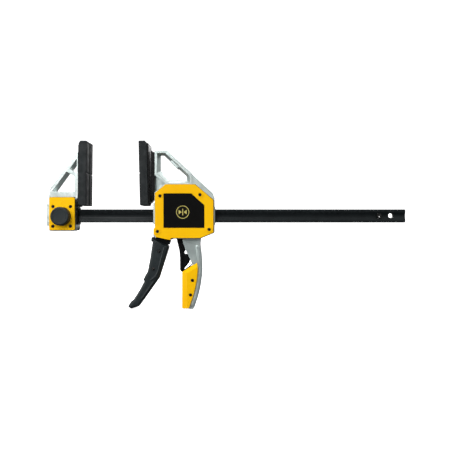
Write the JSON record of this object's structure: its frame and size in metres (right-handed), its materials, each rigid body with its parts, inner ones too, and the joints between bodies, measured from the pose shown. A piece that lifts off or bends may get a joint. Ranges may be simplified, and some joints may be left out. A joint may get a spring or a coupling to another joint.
{
  "type": "one-handed bar clamp",
  "caption": "One-handed bar clamp: a fixed jaw on a grooved bar and a pistol-grip sliding jaw with a squeeze handle and a release trigger.",
  "frame": {"origin": "centre of the fixed head's end face, on the bar's axis and mid-plane", "axes": "+X along the bar from the fixed jaw to the free end, +Z towards the jaw tips, -Y towards the side with the lock button"},
  "size_m": [0.5152, 0.0488, 0.2399],
  "materials": {
    "cast_silver": "satin die casting",
    "yellow_cover": "fine moulded grain",
    "black_steel": "blackened",
    "bright_steel": "plain",
    "pad_rubber": "matt",
    "dark_grip": "fine grain",
    "black_plastic": "satin"
  },
  "bodies": {
    "bar_and_head": {"bar": "black_steel", "stop_pin": "black_steel", "head_casting": "cast_silver", "head_cover_front": "yellow_cover", "head_cover_back": "yellow_cover", "head_screw_1": "black_steel", "head_screw_2": "black_steel", "head_screw_3": "black_steel", "head_screw_4": "black_steel", "head_bar_bush": "black_plastic", "lock_spring": "bright_steel", "fixed_pad": "pad_rubber", "fixed_pad_shoe": "black_plastic"},
    "lock_button": {"lock_button": "black_plastic", "lock_plunger": "bright_steel"},
    "sliding_jaw": {"body_casting": "cast_silver", "body_cover_front": "yellow_cover", "body_cover_back": "yellow_cover", "badge_panel_front": "black_plastic", "badge_panel_back": "black_plastic", "body_screw_front_1": "black_steel", "body_screw_front_2": "black_steel", "body_screw_front_3": "black_steel", "body_screw_front_4": "black_steel", "body_screw_back_1": "black_steel", "body_screw_back_2": "black_steel", "body_screw_back_3": "black_steel", "body_screw_back_4": "black_steel", "grip_panel_front": "yellow_cover", "grip_panel_back": "yellow_cover", "grip_screw_1": "black_steel", "grip_screw_2": "black_steel", "bar_guide_left": "black_plastic", "bar_guide_right": "black_plastic", "moving_pad": "pad_rubber", "moving_pad_plate": "black_plastic", "moving_pad_shoe": "black_plastic", "squeeze_pivot_pin": "bright_steel", "release_pivot_pin": "bright_steel", "drive_spring": "bright_steel", "brake_spring": "bright_steel"},
    "squeeze_handle": {"squeeze_lever": "black_steel", "squeeze_grip_front": "dark_grip", "squeeze_grip_back": "dark_grip", "squeeze_rivet_1": "black_steel", "squeeze_rivet_2": "black_steel"},
    "release_trigger": {"release_trigger": "black_plastic"},
    "drive_plates": {"drive_plate_1": "bright_steel", "drive_plate_2": "bright_steel"},
    "brake_plates": {"brake_plate_1": "bright_steel", "brake_plate_2": "bright_steel"}
  },
  "joints": [
    {"name": "jaw_slide", "type": "slide", "parent": "bar_and_head", "child": "sliding_jaw", "axis": [1, 0, 0], "range_m": [-0.0715, 0.232]},
    {"name": "handle_squeeze", "type": "hinge", "parent": "sliding_jaw", "child": "squeeze_handle", "pos_m": [0.1632, 0, -0.0165], "axis": [0, -1, 0], "range_deg": [0, 22], "stiffness_Nm_per_rad": 1.2, "springref_deg": -14.32},
    {"name": "trigger_release", "type": "hinge", "parent": "sliding_jaw", "child": "release_trigger", "pos_m": [0.1996, 0, -0.0172], "axis": [0, -1, 0], "range_deg": [0, 8], "stiffness_Nm_per_rad": 0.8, "springref_deg": -14.32},
    {"name": "drive_feed", "type": "slide", "parent": "sliding_jaw", "child": "drive_plates", "axis": [1, 0, 0], "range_m": [0, 0.0042], "deforming": ["drive_spring"]},
    {"name": "brake_tilt", "type": "hinge", "parent": "sliding_jaw", "child": "brake_plates", "pos_m": [0.1892, 0, 0.019], "axis": [0, -1, 0], "range_deg": [0, 2], "deforming": ["brake_spring"]},
    {"name": "button_press", "type": "slide", "parent": "bar_and_head", "child": "lock_button", "axis": [0, 1, 0], "range_m": [0, 0.005], "stiffness_N_per_m": 600, "springref_m": -0.004, "deforming": ["lock_spring"]}
  ],
  "couplings": [
    {"joint": "drive_feed", "follows": "handle_squeeze", "m_per_rad": 0.0105},
    {"joint": "brake_tilt", "follows": "trigger_release", "ratio": 0.23}
  ]
}
